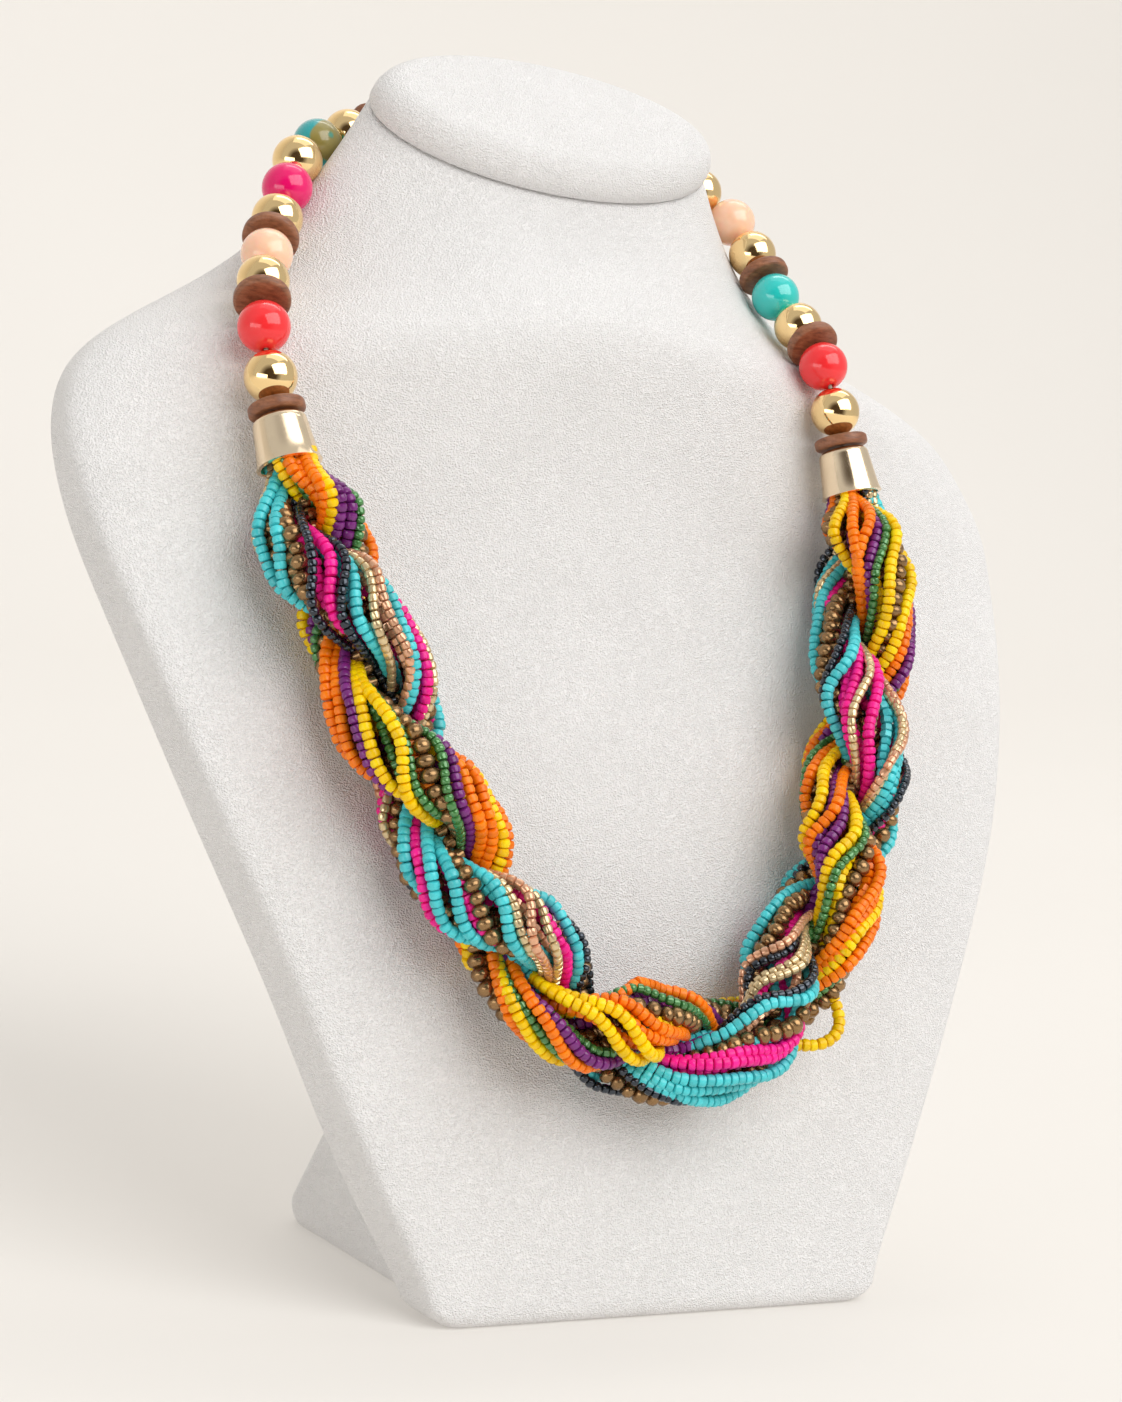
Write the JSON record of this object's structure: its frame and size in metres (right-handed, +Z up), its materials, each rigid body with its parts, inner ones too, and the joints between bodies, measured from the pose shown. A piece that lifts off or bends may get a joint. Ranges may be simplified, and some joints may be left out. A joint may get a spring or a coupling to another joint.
{
  "type": "beaded necklace on a neck bust",
  "caption": "Beaded necklace with a twisted seed-bead braid, gilt end cups and strings of round beads and wooden discs, shown on a plain padded neck bust.",
  "frame": {"origin": "middle of the bust's front lower edge, on the surface the bust stands on", "axes": "+Z up, -Y the way the chest faces, +X to the right of a viewer who stands in front"},
  "size_m": [0.213, 0.1247, 0.229],
  "materials": {
    "bust_cover": "fine-grained off-white leatherette",
    "bead_gold": "polished gilt",
    "ferrule_gold": "pale gilt, lightly brushed",
    "bead_coral": "glossy coral red",
    "bead_peach": "milky peach glass",
    "bead_magenta": "glossy magenta",
    "bead_teal": "glossy teal",
    "bead_two_tone": "glossy, turquoise and olive brown",
    "wood_disc": "satin dark brown",
    "warm_strand": "seed beads, mostly orange, yellow, purple and green",
    "cool_strand": "seed beads, mostly turquoise, gunmetal and champagne",
    "thread": "twisted beading thread"
  },
  "bodies": {
    "root": {"bust_cap": "bust_cover", "bust_foot": "bust_cover", "clasp": "ferrule_gold", "ferrule_left": "ferrule_gold", "ferrule_right": "ferrule_gold", "left_01_disc": "wood_disc", "left_02_gold": "bead_gold", "left_03_coral": "bead_coral", "left_04_disc": "wood_disc", "left_05_gold": "bead_gold", "left_06_peach": "bead_peach", "left_07_disc": "wood_disc", "left_08_gold": "bead_gold", "left_09_magenta": "bead_magenta", "left_10_gold": "bead_gold", "left_11_two_tone": "bead_two_tone", "left_12_gold": "bead_gold", "left_13_disc": "wood_disc", "left_14_gold": "bead_gold", "left_15_coral": "bead_coral", "neck_bust": "bust_cover", "right_01_disc": "wood_disc", "right_02_gold": "bead_gold", "right_03_coral": "bead_coral", "right_04_disc": "wood_disc", "right_05_gold": "bead_gold", "right_06_teal": "bead_teal", "right_07_disc": "wood_disc", "right_08_gold": "bead_gold", "right_09_peach": "bead_peach", "right_10_gold": "bead_gold", "right_11_magenta": "bead_magenta", "right_12_gold": "bead_gold", "right_13_disc": "wood_disc", "right_14_gold": "bead_gold", "strand_cool": "cool_strand", "strand_warm": "warm_strand", "thread_left": "thread", "thread_right": "thread"}
  },
  "joints": []
}
